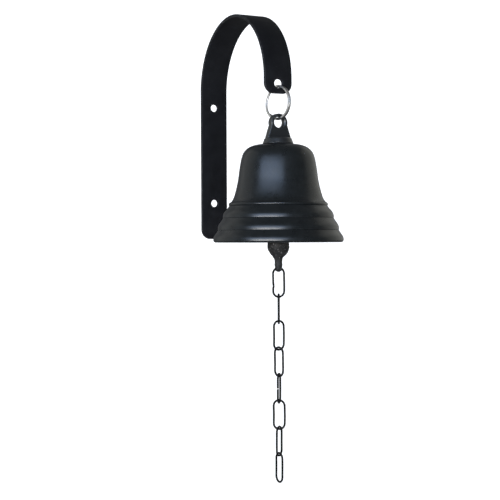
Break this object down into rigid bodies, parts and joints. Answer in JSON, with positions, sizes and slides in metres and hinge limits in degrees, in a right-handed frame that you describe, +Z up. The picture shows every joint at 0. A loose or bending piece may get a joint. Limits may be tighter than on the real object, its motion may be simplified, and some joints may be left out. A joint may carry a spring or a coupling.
{
  "type": "wall mounted bell",
  "caption": "Bell with a clapper and pull chain, hung by a split ring from a flat strap hook that screws to a wall.",
  "frame": {"origin": "on the strap's wall face, midway between its two screw holes", "axes": "+Y into the wall, +Z up along the wall leg, +X across the strap's width; the hook reaches out along -Y"},
  "size_m": [0.1056, 0.1706, 0.3874],
  "materials": {
    "strap_paint": "satin black powder coat",
    "bell_paint": "satin black paint on a spun or cast bell",
    "lug_paint": "satin black paint over a slightly rough casting",
    "nickel_plating": "bright nickel plated spring wire",
    "zinc_steel": "zinc plated fasteners",
    "rough_iron": "rough black cast iron",
    "black_wire": "black coated steel wire"
  },
  "bodies": {
    "bracket": {"wall_bracket": "strap_paint"},
    "ring": {"split_ring": "nickel_plating"},
    "bell": {"hanger_lug": "lug_paint", "bell_shell": "bell_paint", "crown_washer": "zinc_steel", "crown_lock_washer": "zinc_steel", "crown_nut": "zinc_steel", "clapper_eye_nut": "zinc_steel"},
    "clapper": {"clapper": "rough_iron"},
    "chain_link_1": {"chain_link_1": "black_wire"},
    "chain_link_2": {"chain_link_2": "black_wire"},
    "chain_link_3": {"chain_link_3": "black_wire"},
    "chain_link_4": {"chain_link_4": "black_wire"},
    "chain_link_5": {"chain_link_5": "black_wire"},
    "chain_link_6": {"chain_link_6": "black_wire"},
    "chain_link_7": {"chain_link_7": "black_wire"},
    "chain_link_8": {"chain_link_8": "black_wire"}
  },
  "joints": [
    {"name": "ring_swing", "type": "hinge", "parent": "bracket", "child": "ring", "pos_m": [0, -0.11775, 0.04655], "axis": [1, 0, 0], "range_deg": [-60, 30]},
    {"name": "bell_swing", "type": "hinge", "parent": "ring", "child": "bell", "pos_m": [0, -0.11775, 0.02275], "axis": [0.2588, -0.9659, 0], "range_deg": [-40, 40]},
    {"name": "clapper_swing", "type": "hinge", "parent": "bell", "child": "clapper", "pos_m": [0, -0.11775, -0.022], "axis": [0, 1, 0], "range_deg": [-38, 38]},
    {"name": "chain_link_1_swing", "type": "hinge", "parent": "clapper", "child": "chain_link_1", "pos_m": [0, -0.11775, -0.0978], "axis": [0.9563, -0.2924, 0], "range_deg": [-60, 60]},
    {"name": "chain_link_2_swing", "type": "hinge", "parent": "chain_link_1", "child": "chain_link_2", "pos_m": [0, -0.11775, -0.12125], "axis": [-0.9563, 0.2924, 0], "range_deg": [-60, 60]},
    {"name": "chain_link_3_swing", "type": "hinge", "parent": "chain_link_2", "child": "chain_link_3", "pos_m": [0, -0.11775, -0.1427], "axis": [-0.515, -0.8572, 0], "range_deg": [-60, 60]},
    {"name": "chain_link_4_swing", "type": "hinge", "parent": "chain_link_3", "child": "chain_link_4", "pos_m": [0, -0.11775, -0.16415], "axis": [1, 0, 0], "range_deg": [-60, 60]},
    {"name": "chain_link_5_swing", "type": "hinge", "parent": "chain_link_4", "child": "chain_link_5", "pos_m": [0, -0.11775, -0.1856], "axis": [-0.2756, 0.9613, 0], "range_deg": [-60, 60]},
    {"name": "chain_link_6_swing", "type": "hinge", "parent": "chain_link_5", "child": "chain_link_6", "pos_m": [0, -0.11775, -0.20705], "axis": [0.6691, 0.7431, 0], "range_deg": [-60, 60]},
    {"name": "chain_link_7_swing", "type": "hinge", "parent": "chain_link_6", "child": "chain_link_7", "pos_m": [0, -0.11775, -0.2285], "axis": [0.7431, -0.6691, 0], "range_deg": [-60, 60]},
    {"name": "chain_link_8_swing", "type": "hinge", "parent": "chain_link_7", "child": "chain_link_8", "pos_m": [0, -0.11775, -0.24995], "axis": [-0.8192, -0.5736, 0], "range_deg": [-60, 60]}
  ]
}
